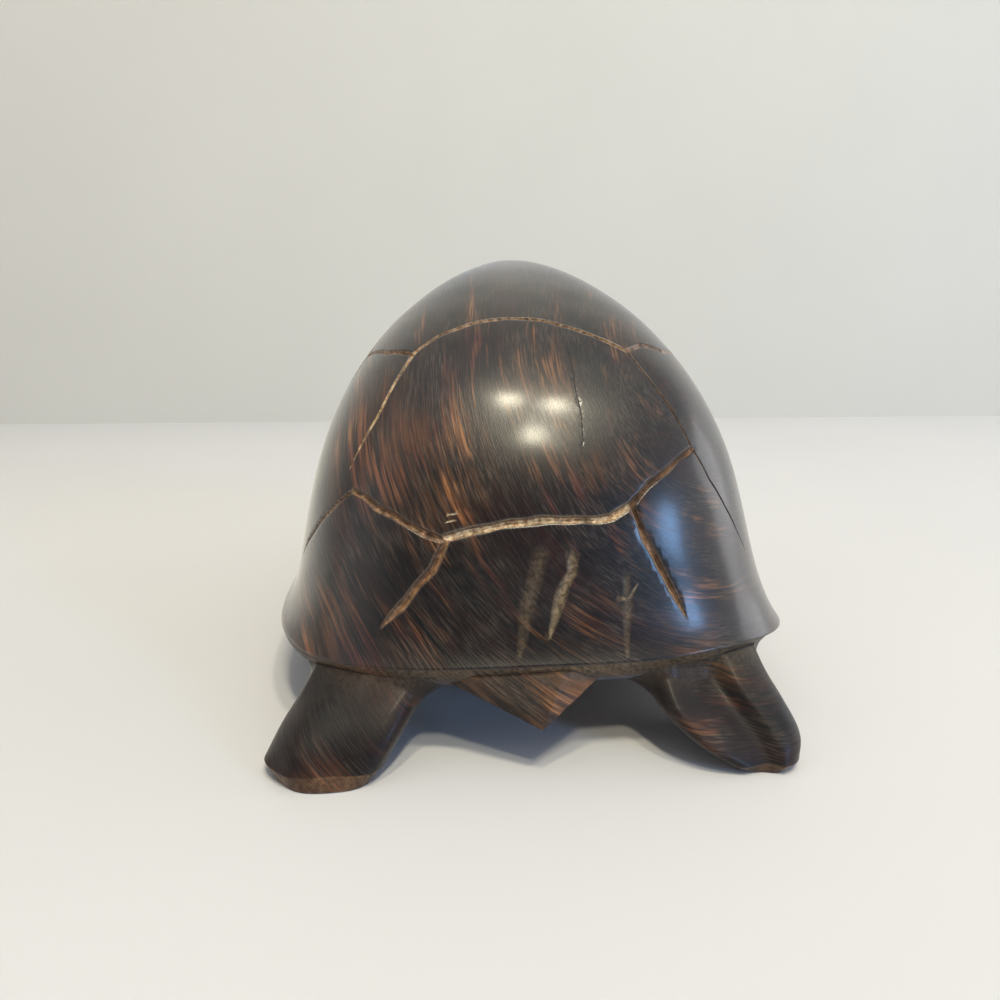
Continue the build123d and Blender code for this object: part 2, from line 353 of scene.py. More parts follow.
cut_rows = []
stations_by_stroke = []
for number, (corners, cut_half_width, cut_depth, paleness, ending) in enumerate(knife_strokes):
    bearings, shares = np.array(corners).T
    corner_flats = flatten(np.radians(bearings), spread_of(shares))
    leg_lengths = np.linalg.norm(np.diff(corner_flats, axis=0), axis=1)
    corner_runs = np.concatenate([[0], np.cumsum(leg_lengths)])
    stations = np.linspace(0, corner_runs[-1], max(int(corner_runs[-1] / station_step), 6))
    line = np.stack([np.interp(stations, corner_runs, corner_flats[:, axis]) for axis in range(2)], -1)
    inside = np.sin(pi * np.clip(stations / corner_runs[-1], 0, 1)) ** 0.5
    heading = np.gradient(line, axis=0)
    heading = sum(np.roll(heading, turn, axis=0) for turn in (-1, 0, 1)) if len(line) > 40 else heading
    heading[[0, -1]] = heading[[1, -2]]
    across = np.stack([-heading[:, 1], heading[:, 0]], -1)
    across /= np.linalg.norm(across, axis=1, keepdims=True)
    line = line + across * (hand_waver(line, 9 * MM, 40 + number) * hand_shake * inside)[:, None]
    probe = 0.2 * MM
    sideways = (dome_point(line + across * probe) - dome_point(line - across * probe)) / (2 * probe)
    stretch = np.linalg.norm(sideways, axis=1)
    upwards = sideways / stretch[:, None] * np.clip(sideways[:, 2:] / stretch[:, None] * 1.6, -1, 1)
    tip = np.clip((stations[-1] - stations) / fading_run, 0, 1) if ending != "open" else np.ones(len(line))
    widths = cut_half_width * MM * (1 + 0.11 * hand_waver(line, 8 * MM, 90 + number))
    widths = widths * (0.3 + 0.7 * tip**0.6)
    depths = cut_depth * MM * (1 + 0.15 * hand_waver(line, 7 * MM, 140 + number)) * tip**0.8
    marks = [widths, depths, np.full(len(line), paleness), np.full(len(line), float(ending == "scuff"))]
    stations_by_stroke.append(np.column_stack([dome_point(line)] + marks + [upwards]))
    for offset in row_offsets:
        cut_rows.append(line + across * (offset * widths / stretch)[:, None])

# The layout is filled with a rim loop, the rows along each cut, and an even field between them
rim_count = 440
rim_bearings = np.linspace(0, 2 * pi, rim_count * 8, endpoint=False)
rim_flats = flatten(rim_bearings, 1.0)
rim_steps = np.linalg.norm(np.roll(rim_flats, -1, axis=0) - rim_flats, axis=1)
rim_run = np.concatenate([[0], np.cumsum(rim_steps)])
even_run = np.linspace(0, rim_run[-1], rim_count, endpoint=False)
rim_bearings = np.interp(even_run, rim_run, np.append(rim_bearings, 2 * pi))
field_step = 1.15 * MM
half_span = max(half_width, half_length) * flat_scale
columns = np.arange(-half_span, half_span, field_step)
rows = np.arange(-half_span, half_span, field_step * 3**0.5 / 2)
field = np.stack(np.meshgrid(columns, rows), -1)
field[1::2, :, 0] += field_step / 2
field = field.reshape(-1, 2)
field = field[lift_flat(field)[1] < 0.955]
rings = [flatten(rim_bearings, ring_spread) for ring_spread in (0.965, 0.976, 0.985, 0.992, 0.997)]
all_stations = np.concatenate(stations_by_stroke)


def cut_closeness(points):
    """For each point its distance to the nearest stroke's stations, counted in that stroke's
    half widths, then the stroke's depth, paleness and scuff there, and how far the point lies
    above the stroke's middle, in half widths too."""
    closest = np.empty(len(points))
    nearest = np.empty(len(points), dtype=int)
    for block in range(0, len(points), 3000):
        part = points[block:block + 3000].astype(np.float32) * 1000
        stations_mm = all_stations[:, :3].astype(np.float32) * 1000
        gap = (part**2).sum(1)[:, None] + (stations_mm**2).sum(1)[None] - 2 * part @ stations_mm.T
        ratio = np.clip(gap, 0, None) / (all_stations[None, :, 3] * 1000) ** 2
        nearest[block:block + 3000] = ratio.argmin(1)
        closest[block:block + 3000] = np.sqrt(ratio.min(1))
    near = all_stations[nearest]
    above = ((points - near[:, :3]) * near[:, 7:]).sum(1) / near[:, 3]
    return closest, near[:, 4], near[:, 5], near[:, 6], above


field = field[cut_closeness(dome_point(field))[0] > 1.75]
flats = [flatten(rim_bearings, 1.0)] + rings + [field] + cut_rows
starts = np.cumsum([0] + [len(block) for block in flats])
edges = [(step, (step + 1) % rim_count) for step in range(rim_count)]
for block, start in zip(cut_rows, starts[len(flats) - len(cut_rows):]):
    edges += [(start + step, start + step + 1) for step in range(len(block) - 1)]
layout = np.concatenate(flats) * 1000
laid = delaunay_2d_cdt([Vector(point) for point in layout.tolist()], edges, [], 0, 1e-4, False)
flat_points = np.array([tuple(point) for point in laid[0]]) / 1000
triangles = np.array(laid[2])
bearings, spreads = lift_flat(flat_points)
smooth_points = dome_surface(bearings, spreads)
probe = 0.05 * MM
side_step = dome_point(flat_points + [probe, 0]) - dome_point(flat_points - [probe, 0])
end_step = dome_point(flat_points + [0, probe]) - dome_point(flat_points - [0, probe])
outward = np.cross(side_step, end_step)
outward /= np.linalg.norm(outward, axis=1, keepdims=True)
closeness, depths, paleness, scuff, above = cut_closeness(smooth_points)
groove = np.clip(1 - closeness, 0, 1) ** 0.85
dome_points = smooth_points - outward * (groove * depths)[:, None]

# The polish is a little uneven, and both ends swell along a soft keel
uneven = 0.05 * MM * hand_waver(smooth_points, 34 * MM, 7)
uneven = uneven + 0.025 * MM * hand_waver(smooth_points, 13 * MM, 8)
keel_height = 0.75 * MM
keel_width = 12 * MM
keel = keel_height * np.exp(-((smooth_points[:, 0] / keel_width) ** 2))
keel = keel * np.sin(pi * height_share(spreads)) ** 0.7
dome_points += outward * ((uneven + keel) * np.clip((1 - spreads) * 12, 0, 1))[:, None]

# Under the rim the edge rolls over into a flat ledge, and a hidden cap closes the dome
rim_ids = np.where(spreads > 1 - 1e-6)[0]
rim_ids = rim_ids[np.argsort(bearings[rim_ids])]
rim_points = dome_points[rim_ids]
inward = shell_middle - rim_points
inward[:, 2] = 0
inward /= np.linalg.norm(inward, axis=1, keepdims=True)
ledge_steps = [(0.05, 0.08), (0.18, 0.13), (1.2, 0.15), (6.0, 0.1), (25.0, 0.0)]
under_rings = []
for draw_in, drop in ledge_steps:
    ring = rim_points + inward * draw_in * MM
    ring[:, 2] -= drop * MM
    under_rings.append(ring)
cap_id = len(dome_points) + rim_count * len(under_rings)
under_ids = [rim_ids] + list(np.arange(len(dome_points), cap_id).reshape(-1, rim_count))
shell_points = np.concatenate([dome_points] + under_rings + [rim_points.mean(0)[None]])
bands = []
for upper, lower in zip(under_ids, under_ids[1:]):
    bands.append(np.stack([upper, lower, np.roll(lower, -1)], -1))
    bands.append(np.stack([upper, np.roll(lower, -1), np.roll(upper, -1)], -1))
last = under_ids[-1]
bands.append(np.stack([last, np.full(rim_count, cap_id), np.roll(last, -1)], -1))
shell_faces = np.concatenate([triangles] + bands)


def warm_patches(points, patches, ground=0.0):
    """How warm and pale the wood is: a ground level that rises to a strength in soft round
    patches, each with a place from the shell's middle, a radius in mm and a strength."""
    warmth = np.zeros(len(points)) + ground
    for x, y, z, radius, strength in patches:
        gap = np.linalg.norm(points - shell_middle - np.array([x, y, z]) * MM, axis=1)
        warmth = np.maximum(warmth, ground + (strength - ground) * np.exp(-((gap / (radius * MM)) ** 2)))
    return warmth


def carved_piece(name, points, faces, wood, node, marks, crisp_angle=radians(80)):
    """A closed mesh from arrays of points and faces, with its marks as attributes. It is
    smooth but for the edges that turn by more than the crisp angle."""
    mesh = bpy.data.meshes.new(name)
    mesh.from_pydata(points.tolist(), [], faces.tolist())
    mesh.shade_smooth()
    mesh.set_sharp_from_angle(angle=crisp_angle)
    for mark, values in marks.items():
        mesh.attributes.new(mark, "FLOAT", "POINT").data.foreach_set("value", values.astype(np.float32))
    mesh.materials.append(wood)
    piece = bpy.data.objects.new(name, mesh)
    bpy.context.collection.objects.link(piece)
    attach(piece, "root")
    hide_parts(node)
    return piece


def link_chain(tree, *steps):
    """Links each output to the input that follows it."""
    for source, target in steps:
        tree.links.new(source, target)


def math_node(tree, operation, first, second=None):
    """A math node with sockets or plain numbers as its inputs."""
    node = tree.nodes.new("ShaderNodeMath")
    node.operation = operation
    for socket, value in zip(node.inputs, (first, second)):
        if isinstance(value, (int, float)):
            socket.default_value = value
        elif value is not None:
            tree.links.new(value, socket)
    return node.outputs[0]


def mix_colours(tree, factor, first, second):
    """A colour mix with sockets or plain colours as its inputs."""
    node = tree.nodes.new("ShaderNodeMix")
    node.data_type = "RGBA"
    if isinstance(factor, (int, float)):
        node.inputs[0].default_value = factor
    else:
        tree.links.new(factor, node.inputs[0])
    for socket, value in zip((node.inputs[6], node.inputs[7]), (first, second)):
        if isinstance(value, tuple):
            socket.default_value = (*value, 1.0)
        else:
            tree.links.new(value, socket)
    return node.outputs[2]


def noise_mask(tree, vector, scale, detail, low, high, distortion=0.0):
    """Noise as a mask that is nothing under the low level and full over the high one."""
    node = tree.nodes.new("ShaderNodeTexNoise")
    node.inputs["Scale"].default_value = scale
    node.inputs["Detail"].default_value = detail
    node.inputs["Distortion"].default_value = distortion
    tree.links.new(vector, node.inputs["Vector"])
    ramp = tree.nodes.new("ShaderNodeMapRange")
    ramp.inputs["From Min"].default_value = low
    ramp.inputs["From Max"].default_value = high
    tree.links.new(node.outputs["Fac"], ramp.inputs["Value"])
    return ramp.outputs["Result"]


def build_ironwood_group():
    """The figure of the wood: streaks that follow rings about a heart line near the crown,
    long along the turtle, with red and orange ones among near-black ones."""
    group = bpy.data.node_groups.new("ironwood_figure", "ShaderNodeTree")
    group.interface.new_socket("Place", in_out="INPUT", socket_type="NodeSocketVector")
    for name in ("Warmth", "Cut", "Paleness", "Upper_shade", "Scuff"):
        group.interface.new_socket(name, in_out="INPUT", socket_type="NodeSocketFloat")
    group.interface.new_socket("Colour", in_out="OUTPUT", socket_type="NodeSocketColor")
    for name in ("Roughness", "Height"):
        group.interface.new_socket(name, in_out="OUTPUT", socket_type="NodeSocketFloat")
    given = group.nodes.new("NodeGroupInput")
    result = group.nodes.new("NodeGroupOutput")
    place, warmth, cut, paleness, upper_shade, scuff = given.outputs[:6]

    def times(first, second):
        """The product of two values."""
        return math_node(group, "MULTIPLY", first, second)

    def plus(first, second):
        """The sum of two values."""
        return math_node(group, "ADD", first, second)

    # The heart line runs along the turtle, right of the crown, and the rings swirl a little
    heart = group.nodes.new("ShaderNodeMapping")
    heart.inputs["Location"].default_value = (0.030, 0.0, -0.064)
    swirl = group.nodes.new("ShaderNodeTexNoise")
    swirl.inputs["Scale"].default_value = 17.0
    swirl.inputs["Detail"].default_value = 2.0
    drift = group.nodes.new("ShaderNodeVectorMath")
    drift.operation = "MULTIPLY_ADD"
    drift.inputs[1].default_value = (0.006, 0.004, 0.006)
    split = group.nodes.new("ShaderNodeSeparateXYZ")
    link_chain(
        group,
        (place, heart.inputs["Vector"]),
        (heart.outputs["Vector"], swirl.inputs["Vector"]),
        (swirl.outputs["Color"], drift.inputs[0]),
        (heart.outputs["Vector"], drift.inputs[2]),
        (drift.outputs["Vector"], split.inputs["Vector"]),
    )
    across, along, upwards = split.outputs
    ring = math_node(group, "SQRT", plus(times(across, across), times(upwards, upwards)))
    around = times(math_node(group, "ARCTAN2", upwards, across), 0.05)

    def streak_place(ring_scale, around_scale, along_scale):
        """Ring, angle and length as a place, stretched along the streaks."""
        streak = group.nodes.new("ShaderNodeCombineXYZ")
        scaled = times(ring, ring_scale), times(around, around_scale), times(along, along_scale)
        link_chain(group, *zip(scaled, streak.inputs))
        return streak.outputs["Vector"]

    bands = noise_mask(group, streak_place(230.0, 30.0, 20.0), 1.0, 3.0, 0.38, 0.64, 0.5)
    bundles = noise_mask(group, streak_place(260.0, 50.0, 32.0), 1.0, 3.0, 0.50, 0.62, 0.6)
    smears = noise_mask(group, streak_place(700.0, 80.0, 50.0), 1.0, 5.0, 0.45, 0.64, 0.4)
    lines = noise_mask(group, streak_place(2400.0, 110.0, 70.0), 1.0, 5.0, 0.49, 0.63, 0.2)
    threads = noise_mask(group, streak_place(4600.0, 330.0, 250.0), 1.0, 5.0, 0.47, 0.68, 0.0)
    reds = noise_mask(group, place, 48.0, 2.0, 0.44, 0.58, 0.3)
    smoke = noise_mask(group, place, 120.0, 5.0, 0.42, 0.68, 0.6)

    # The streaks glow where the wood is warm, and the fine threads calm down where it is not
    colour = mix_colours(group, bands, (0.0022, 0.0019, 0.0028), (0.0130, 0.0050, 0.0048))
    colour = mix_colours(group, times(smoke, 0.5), colour, (0.020, 0.019, 0.017))
    smear_colour = mix_colours(group, reds, (0.088, 0.031, 0.0125), (0.048, 0.0110, 0.0100))
    line_colour = mix_colours(group, reds, (0.50, 0.215, 0.078), (0.160, 0.042, 0.030))
    ember = plus(times(bundles, plus(times(warmth, 0.9), 0.55)), times(warmth, 0.18))
    ember = math_node(group, "MINIMUM", plus(ember, 0.05), 1.0)
    colour = mix_colours(group, times(smears, ember), colour, smear_colour)
    colour = mix_colours(group, times(lines, times(ember, 0.70)), colour, line_colour)
    calm = math_node(group, "MINIMUM", plus(times(warmth, 1.2), 1.0), 1.0)
    thread_share = times(plus(times(smoke, 0.28), 0.06), calm)
    colour = mix_colours(group, times(threads, thread_share), colour, (0.24, 0.155, 0.11))
    warm_shown = times(warmth, plus(times(smears, 0.45), 0.08))
    colour = mix_colours(group, warm_shown, colour, (0.23, 0.090, 0.028))

    # A fresh cut shows paler wood, streaked across by the blade, with dark dirt in patches, and its upper
    # bank is darkened by painted shade
    fibres = noise_mask(group, place, 1500.0, 4.0, 0.35, 0.68, 0.5)
    dirt = noise_mask(group, place, 420.0, 4.0, 0.46, 0.62, 0.3)
    lit = times(paleness, plus(times(fibres, 0.65), 0.35))
    fresh = mix_colours(group, times(lit, 2.2), (0.050, 0.021, 0.011), (0.40, 0.220, 0.108))
    paler = math_node(group, "MAXIMUM", times(math_node(group, "SUBTRACT", lit, 0.4), 1.7), 0.0)
    fresh = mix_colours(group, paler, fresh, (1.0, 0.80, 0.52))
    # Painted shade on the upper bank, joined with the patches of real dirt, darkens the fresh cut
    dirt_and_shade = math_node(group, "MAXIMUM", upper_shade, times(dirt, 0.62))
    fresh = mix_colours(group, dirt_and_shade, fresh, (0.018, 0.010, 0.008))
    # Scuffs scrape the polish pale on the shell; on the body pieces the same mark is dust plus a painted
    # satin sheen below the rim
    scraped_and_sheen = times(scuff, plus(times(fibres, 0.6), 0.2))
    colour = mix_colours(group, scraped_and_sheen, colour, (0.36, 0.26, 0.15))
    colour = mix_colours(group, cut, colour, fresh)
    roughness = plus(times(threads, 0.10), times(cut, 0.10))
    height = plus(times(threads, 0.30), times(times(fibres, cut), 2.0))
    link_chain(
        group,
        (colour, result.inputs["Colour"]),
        (roughness, result.inputs["Roughness"]),
        (height, result.inputs["Height"]),
    )
    return group


ironwood_group = build_ironwood_group()


def ironwood(name, density, polish, wax, sheen, relief):
    """Waxed ironwood: the figure group feeds the colour, the gloss and a fine relief."""
    wood = bpy.data.materials.new(name)
    wood.use_nodes = True
    tree = wood.node_tree
    shader = tree.nodes["Principled BSDF"]
    shader.inputs["IOR"].default_value = density
    shader.inputs["Coat Weight"].default_value = wax
    shader.inputs["Coat Roughness"].default_value = 0.19
    shader.inputs["Sheen Weight"].default_value = sheen
    shader.inputs["Sheen Roughness"].default_value = 0.32
    figure = tree.nodes.new("ShaderNodeGroup")
    figure.node_tree = ironwood_group
    place = tree.nodes.new("ShaderNodeTexCoord")
    for mark in ("Warmth", "Cut", "Paleness", "Upper_shade", "Scuff"):
        reading = tree.nodes.new("ShaderNodeAttribute")
        reading.attribute_name = mark.lower()
        tree.links.new(reading.outputs["Fac"], figure.inputs[mark])
    bump = tree.nodes.new("ShaderNodeBump")
    bump.inputs["Strength"].default_value = relief
    bump.inputs["Distance"].default_value = 0.00006
    link_chain(
        tree,
        (place.outputs["Object"], figure.inputs["Place"]),
        (figure.outputs["Colour"], shader.inputs["Base Color"]),
        (math_node(tree, "ADD", figure.outputs["Roughness"], polish), shader.inputs["Roughness"]),
        (figure.outputs["Height"], bump.inputs["Height"]),
        (bump.outputs["Normal"], shader.inputs["Normal"]),
    )
    return wood


shell_wood = ironwood("shell_ironwood", 1.43, 0.36, 0.5, 0.46, 0.8)
body_wood = ironwood("body_ironwood", 1.37, 0.52, 0.05, 0.28, 1.2)

shell_warm = [
    (39, 51, 15, 9, 0.7), (24, 58, 15, 8, 0.2), (46, 38, 16, 10, 0.4), (-22, 57, 17, 6, 0.5),
    (36, -50, 17, 12, 0.5), (29, 38, 52, 7, 0.9), (23, 46, 46, 7, 1.0), (15, 49, 50, 5, 0.9),
    (15, 53, 40, 5, 0.8), (-8, 53, 44, 4, 0.6),
]
stroke_mark = np.clip((1 - closeness) / 0.16, 0, 1)
cut_mark = stroke_mark * np.clip(depths / (0.2 * MM), 0, 1) * (1 - scuff)
scuff_mark = np.clip(1.2 - closeness, 0, 1) ** 0.7 * scuff * paleness
hidden = np.zeros(len(shell_points) - len(dome_points))
steepness = np.clip((0.72 - outward[:, 2]) / 0.3, 0, 1)
# Painted shade: the upper bank of each cut, which faces down, is darkened in its colour, more where the
# dome is steep
upper_shade = np.clip((above - 0.25) / 0.3, 0, 1) * stroke_mark * (0.40 + 0.50 * steepness)
shell_marks = {"cut": cut_mark, "paleness": paleness, "scuff": scuff_mark, "upper_shade": upper_shade}
shell_marks = {mark: np.append(values, hidden) for mark, values in shell_marks.items()}
darker_right = 0.5 - 0.5 * np.tanh((shell_points[:, 0] / MM + 4) / 12)
darker_low = 0.5 - 0.5 * np.tanh((shell_points[:, 2] / MM - 33) / 7)
shell_marks["warmth"] = warm_patches(shell_points, shell_warm, -0.32 * np.maximum(darker_right, darker_low))
carapace = carved_piece("carapace_wood", shell_points, shell_faces, shell_wood, "carapace", shell_marks)


# The underbody: the same block of wood below the rim, rasped to a shallow bowl. It starts at the
# rim's thin edge, slopes in under it, and levels out to a belly that stays clear of the table.
def ring_faces(ring_count, around_count):
    """Triangles between rings of points that are listed one after another."""
    ring_ids = np.arange(ring_count)[:, None] * around_count + np.arange(around_count)[None]
    here, there = ring_ids[:-1], ring_ids[1:]
    here_next, there_next = np.roll(here, -1, axis=1), np.roll(there, -1, axis=1)
    lower = np.stack([here, here_next, there_next], -1).reshape(-1, 3)
    upper = np.stack([here, there_next, there], -1).reshape(-1, 3)
    return np.concatenate([lower, upper])


def closed_rings(rings):
    """A closed mesh from a stack of rings: the rings' walls and a fan on each end ring. The
    rings turn anticlockwise as seen from the stack's last end."""
    ring_count, around_count, _ = rings.shape
    points = np.concatenate([rings.reshape(-1, 3), rings[0].mean(0)[None], rings[-1].mean(0)[None]])
    first, last = np.arange(around_count), (ring_count - 1) * around_count + np.arange(around_count)
    first_hub, last_hub = ring_count * around_count, ring_count * around_count + 1
    first_fan = np.stack([np.roll(first, -1), first, np.full(around_count, first_hub)], -1)
    last_fan = np.stack([last, np.roll(last, -1), np.full(around_count, last_hub)], -1)
    return points, np.concatenate([ring_faces(ring_count, around_count), first_fan, last_fan])


belly_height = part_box("plastron")[0][2]
bowl_reach = 6.5 * MM
strip_drop = 1.5 * MM
strip_reach = 0.45 * MM
# How far below the rim's arch the dust and the painted satin sheen reach
dust_sheen_reach = 3.2 * MM


def underside(x, y, below_strip=False):
    """The bowl's height at a place from the shell's middle. It falls from the rim's height
    towards the belly's by two exponentials of the distance inwards from the rim: a short one
    that makes the strip below the edge, and a long one. Below the strip, the short one has
    run out everywhere."""
    bearing = np.arctan2(y / half_length, x / half_width)
    nearness = np.hypot(x / half_width, y / half_length) / corner_reach(bearing, corner_power)
    inset = np.clip(np.hypot(x, y) * (1 / np.maximum(nearness, 1e-4) - 1), 0, None)
    rim = rim_height(bearing)
    strip = strip_drop * (1 - np.exp(-inset / strip_reach) * (not below_strip))
    return rim - strip - (rim - strip_drop - belly_height) * (1 - np.exp(-inset / bowl_reach))


def rim_dust_and_sheen(points, amount):
    """How dusty the wood is, with a painted satin sheen: a bell curve of the depth below the rim's arch, in
    soft patches.
    """
    depth_below = rim_side + rim_arch - points[:, 2]
    sheen_and_dust = np.exp(-((depth_below / dust_sheen_reach) ** 2)) * (amount + 0.10 * hand_waver(points, 15 * MM, 61))
    return np.clip(sheen_and_dust, 0, 1)


around = np.linspace(0, 2 * pi, 360, endpoint=False)
ring_sizes = 0.998 * np.sin(np.linspace(0.004, pi / 2, 80))
ring_reach = corner_reach(around, corner_power)
bowl_x = half_width * ring_sizes[:, None] * ring_reach * np.cos(around)
bowl_y = half_length * ring_sizes[:, None] * ring_reach * np.sin(around)
bowl = np.stack([bowl_x, bowl_y, underside(bowl_x, bowl_y)], -1)
collar = np.column_stack([bowl[-1, :, :2], rim_height(around) + 0.08 * MM])
tucked = collar * [0.96, 0.96, 1.0] + [0, 0, 0.2 * MM]
bowl = np.concatenate([bowl, collar[None], tucked[None]]) + shell_middle
bowl += [0, 0, 0.06 * MM] * hand_waver(bowl, 11 * MM, 31)[..., None]
bowl_points, bowl_faces = closed_rings(bowl)
bowl_warm = [(0, 40, 9, 16, 0.35), (10, -20, 8, 20, 0.3), (30, 56, 13, 6, 0.5)]
plastron = carved_piece(
    "plastron_wood", bowl_points, bowl_faces, body_wood, "plastron",
    # The scuff mark here is dust plus a painted satin sheen below the rim
    {"scuff": rim_dust_and_sheen(bowl_points, 0.40), "warmth": warm_patches(bowl_points, bowl_warm)},
)


# The legs: four stout limbs of the same wood, left standing at the block's corners. Each leans
# outwards from a filleted root under the rim to a sole sawn flat, with a knife-cut bevel round it.
def smooth_loop(points, count):
    """A closed curve through points: between two of them it is the cubic whose slopes come
    from their neighbours on each side."""
    points = np.array(points, float)
    place = np.linspace(0, len(points), count, endpoint=False)
    index = place.astype(int)
    share = (place - index)[:, None]
    before, start, end, after = (points[(index + step) % len(points)] for step in (-1, 0, 1, 2))
    return start + 0.5 * share * (end - before + share * (
        2 * before - 5 * start + 4 * end - after + share * (3 * (start - end) + after - before)))


def smooth_run(points, place):
    """An open curve through points, by the same cubic, at places counted in points."""
    points = np.array(points, float)
    padded = np.concatenate([2 * points[:1] - points[1:2], points, 2 * points[-1:] - points[-2:-1]])
    index = np.clip(place.astype(int), 0, len(points) - 2)
    share = (place - index).reshape(*place.shape, *([1] * (points.ndim - place.ndim)))
    before, start, end, after = (padded[index + step] for step in range(4))
    return start + 0.5 * share * (end - before + share * (
        2 * before - 5 * start + 4 * end - after + share * (3 * (start - end) + after - before)))


# Each level of a leg: its height in mm, then its outline from the outer side round by the
# rear to the inner side and the front, in mm from the shell's middle. The first level is the
# sole, and the second the upper edge of the bevel round it.
rear_left_levels = [
    (0.0, [
        (42.4, 61.6), (38.8, 66.9), (33.0, 68.1), (28.4, 66.6),
        (26.4, 61.0), (27.8, 54.6), (33.5, 52.4), (40.0, 54.8),
    ]),
    (2.2, [
        (43.6, 61.2), (39.4, 67.0), (33.0, 67.5), (27.2, 67.0),
        (24.6, 60.6), (26.4, 52.9), (33.0, 50.7), (40.8, 53.6),
    ]),
    (5.6, [
        (41.6, 58.4), (38.4, 65.4), (31.6, 66.0), (24.8, 65.4),
        (22.0, 57.4), (24.4, 50.0), (31.0, 48.0), (38.6, 50.8),
    ]),
    (9.0, [
        (39.0, 54.6), (36.4, 62.0), (29.8, 63.2), (22.6, 62.6),
        (19.6, 54.4), (22.2, 47.1), (29.2, 45.1), (36.4, 48.2),
    ]),
    (12.0, [
        (36.9, 51.4), (34.8, 57.6), (28.2, 59.0), (21.0, 59.4),
        (17.9, 51.9), (20.6, 44.9), (28.0, 43.1), (34.8, 45.8),
    ]),
    (15.0, [
        (35.4, 48.4), (33.4, 53.4), (27.0, 54.8), (20.4, 55.6),
        (17.0, 48.9), (19.6, 42.4), (27.0, 40.6), (33.6, 43.2),
    ]),
]
rear_right_levels = [
    (0.0, [
        (-36.6, 62.6), (-35.4, 66.6), (-33.2, 68.4), (-31.0, 68.2),
        (-28.2, 67.2), (-27.0, 61.0), (-28.0, 54.5), (-32.0, 52.5), (-36.0, 55.4),
    ]),
    (1.4, [
        (-38.2, 62.2), (-37.0, 67.0), (-34.0, 69.3), (-31.2, 68.5),
        (-26.4, 68.4), (-24.6, 60.5), (-26.5, 53.0), (-32.0, 51.0), (-37.4, 54.2),
    ]),
    (3.8, [
        (-38.7, 60.6), (-37.4, 66.2), (-33.6, 68.2), (-30.0, 66.6),
        (-22.6, 68.2), (-20.6, 59.0), (-23.0, 51.0), (-30.0, 48.5), (-37.6, 51.4),
    ]),
    (8.0, [
        (-37.3, 56.8), (-36.0, 62.8), (-31.6, 64.8), (-27.4, 62.6),
        (-18.9, 65.6), (-16.6, 56.4), (-19.4, 48.5), (-28.0, 46.0), (-36.2, 48.6),
    ]),
    (12.0, [
        (-35.2, 53.0), (-34.0, 58.6), (-29.2, 60.6), (-24.8, 58.6),
        (-17.4, 61.4), (-14.6, 53.6), (-17.6, 45.6), (-26.0, 42.6), (-34.6, 45.2),
    ]),
    (16.0, [
        (-34.0, 49.8), (-32.8, 54.6), (-28.0, 56.0), (-24.0, 55.0),
        (-17.6, 56.6), (-14.4, 50.0), (-17.6, 43.0), (-26.0, 40.0), (-33.6, 42.2),
    ]),
]
front_pull = 4.0


def front_levels(levels, side):
    """A front leg's levels: a rear leg's turned end for end, a little nearer the middle."""
    turned = []
    for height, outline in levels:
        turned.append((height, [(side * abs(x), -(y - front_pull)) for x, y in outline]))
    return turned


column_count = 144
root_fillet = 4.6 * MM
rim_inset_share = 0.992
knife_waver = 0.10 * MM


def rim_nearness(flat):
    """How near the rim places are, from the shell's middle: one on the rim's outline."""
    wide, long = flat[:, 0] / half_width, flat[:, 1] / half_length
    return np.hypot(wide, long) / corner_reach(np.arctan2(long, wide), corner_power)


